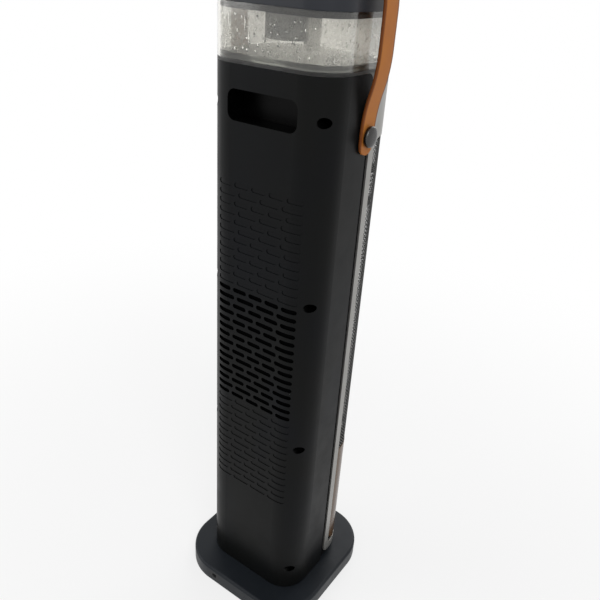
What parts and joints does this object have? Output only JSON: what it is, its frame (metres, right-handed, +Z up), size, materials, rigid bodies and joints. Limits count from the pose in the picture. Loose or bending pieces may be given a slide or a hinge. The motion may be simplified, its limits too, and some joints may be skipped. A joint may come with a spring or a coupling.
{
  "type": "tower fan heater",
  "caption": "Upright fan heater on a swivelling stand, with a crossflow blower behind a mesh grille, a clear water tank under the cap and a leather carry strap.",
  "frame": {"origin": "on the floor, under the middle of the stand", "axes": "+Z up along the tower, -Y out of the warm air outlet, +X to the right seen from the front"},
  "size_m": [0.206, 0.206, 0.852],
  "materials": {
    "stand_plastic": "fine satin texture",
    "cover_plastic": "satin",
    "frame_silver": "silver satin",
    "grille_black": "matt black",
    "panel_gloss": "dark bronze gloss",
    "cap_plastic": "satin",
    "tank_clear": "clear, lightly smoked",
    "strap_leather": "tan, smooth",
    "stud_metal": "dark nickel",
    "rubber_black": "matt",
    "inner_plastic": "matt",
    "gear_plastic": "natural acetal",
    "steel": "zinc plated",
    "iron": "plain",
    "aluminium": "mill finish",
    "bar_casing": "plain",
    "board_green": "board lacquer",
    "motor_steel": "plated can",
    "brass": "plain",
    "filter_mesh": "woven mesh",
    "button_gloss": "semi gloss",
    "neck_plastic": "satin"
  },
  "bodies": {
    "stand": {"base_shell": "stand_plastic", "base_bottom_cover": "inner_plastic", "base_ballast": "iron", "rubber_feet": "rubber_black", "base_screws": "steel", "cord_gland": "rubber_black", "slide_ring": "gear_plastic", "swing_gear": "gear_plastic", "gear_screws": "steel"},
    "tower": {"tower_floor": "inner_plastic", "tower_chassis": "inner_plastic", "chassis_screws": "steel", "swing_motor": "motor_steel", "tip_switch": "gear_plastic", "power_board": "board_green", "rear_cover": "cover_plastic", "cover_screws": "steel", "handle_cup": "cover_plastic", "inlet_filter": "filter_mesh", "front_frame": "frame_silver", "lower_front_panel": "panel_gloss", "front_grille": "grille_black", "scroll_wall": "aluminium", "tongue_wall": "aluminium", "fan_motor": "motor_steel", "shaft_bearing": "brass", "heater_frame": "inner_plastic", "heater_bars": "bar_casing", "heater_fins": "aluminium", "thermal_cutout": "gear_plastic", "atomizer": "neck_plastic", "water_tank": "tank_clear", "cap_floor": "cap_plastic", "tank_seal": "rubber_black", "fill_neck": "neck_plastic", "mist_tube": "neck_plastic", "top_cap": "cap_plastic", "mist_outlet": "frame_silver", "control_board": "board_green", "flap_pin": "steel", "strap_knobs": "stud_metal", "strap_washers": "steel"},
    "blower": {"blower_shaft": "steel", "blower_wheel": "inner_plastic"},
    "pinion": {"swing_pinion": "gear_plastic"},
    "strap": {"carry_strap": "strap_leather"},
    "flap": {"fill_flap": "cap_plastic"},
    "power_button": {"power_button": "button_gloss"},
    "heat_button": {"heat_button": "button_gloss"},
    "swing_button": {"swing_button": "button_gloss"},
    "mist_button": {"mist_button": "button_gloss"}
  },
  "joints": [
    {"name": "swivel", "type": "hinge", "parent": "stand", "child": "tower", "pos_m": [0, 0, 0.025], "axis": [0, 0, 1], "range_deg": [-35, 35]},
    {"name": "blower_spin", "type": "hinge", "parent": "tower", "child": "blower", "pos_m": [0, 0.02, 0.232], "axis": [0, 0, 1], "continuous": true},
    {"name": "pinion_spin", "type": "hinge", "parent": "tower", "child": "pinion", "pos_m": [0, 0.0375, 0.036], "axis": [0, 0, 1], "range_deg": [-150, 150]},
    {"name": "strap_fold", "type": "hinge", "parent": "tower", "child": "strap", "pos_m": [0, -0.0005, 0.645], "axis": [1, 0, 0], "range_deg": [-140, 140]},
    {"name": "flap_open", "type": "hinge", "parent": "tower", "child": "flap", "pos_m": [0, 0.0602, 0.7977], "axis": [-1, 0, 0], "range_deg": [0, 100]},
    {"name": "power_press", "type": "slide", "parent": "tower", "child": "power_button", "axis": [0, 0, -1], "range_m": [0, 0.001], "stiffness_N_per_m": 400},
    {"name": "heat_press", "type": "slide", "parent": "tower", "child": "heat_button", "axis": [0, 0, -1], "range_m": [0, 0.001], "stiffness_N_per_m": 400},
    {"name": "swing_press", "type": "slide", "parent": "tower", "child": "swing_button", "axis": [0, 0, -1], "range_m": [0, 0.001], "stiffness_N_per_m": 400},
    {"name": "mist_press", "type": "slide", "parent": "tower", "child": "mist_button", "axis": [0, 0, -1], "range_m": [0, 0.001], "stiffness_N_per_m": 400}
  ],
  "couplings": [
    {"joint": "pinion_spin", "follows": "swivel", "ratio": 4}
  ]
}
